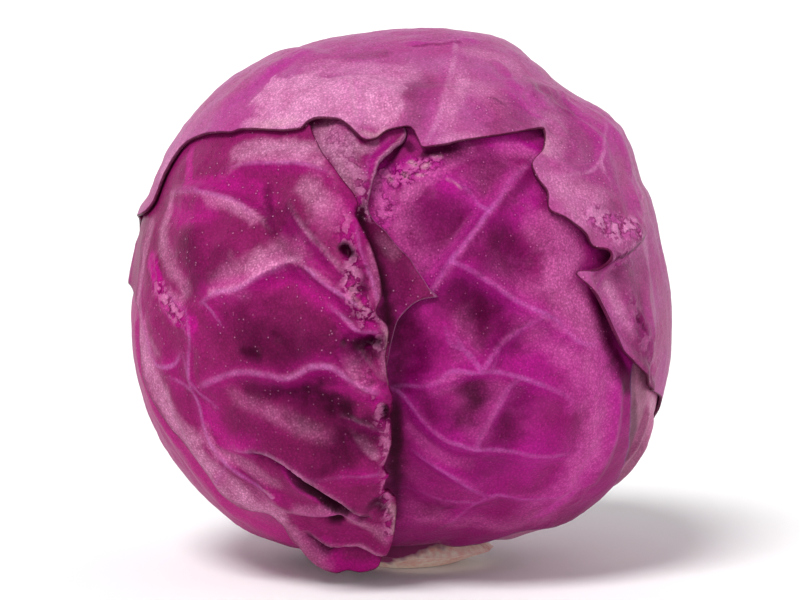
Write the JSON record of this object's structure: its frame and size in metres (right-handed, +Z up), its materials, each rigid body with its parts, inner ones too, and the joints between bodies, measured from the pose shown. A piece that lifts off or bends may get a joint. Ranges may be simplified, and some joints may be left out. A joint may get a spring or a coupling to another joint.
{
  "type": "red cabbage head",
  "caption": "Red cabbage head of thin overlapping waxy leaves wrapped around a closed heart, standing upright on its cut stem",
  "frame": {"origin": "the middle of the stem's flat cut face, on the surface that the head stands on", "axes": "+Z up from the cut through the head, -Y towards the side with the seam between the two front leaves, +X to that side's right"},
  "size_m": [0.1511, 0.1526, 0.1477],
  "materials": {
    "stem": "pale cream cut stalk, matte and slightly moist",
    "heart": "plum leaf surface in shade, satin",
    "dusky_leaf": "dusky purple leaf with a waxy bloom, satin",
    "magenta_leaf": "bright magenta leaf with a waxy bloom, satin",
    "front_right_leaf": "deep magenta leaf with paler veins, waxy satin",
    "tucked_leaf": "plum leaf with a paler torn edge, waxy satin",
    "front_left_leaf": "dark plum leaf with paler folds and veins, waxy satin",
    "top_leaf": "pinkish purple leaf with a pale waxy bloom, satin"
  },
  "bodies": {
    "root": {"stem": "stem", "heart": "heart", "lower_right_leaf": "dusky_leaf", "lower_left_leaf": "magenta_leaf", "front_right_leaf": "front_right_leaf", "tucked_leaf": "tucked_leaf", "front_left_leaf": "front_left_leaf", "top_leaf": "top_leaf"}
  },
  "joints": []
}
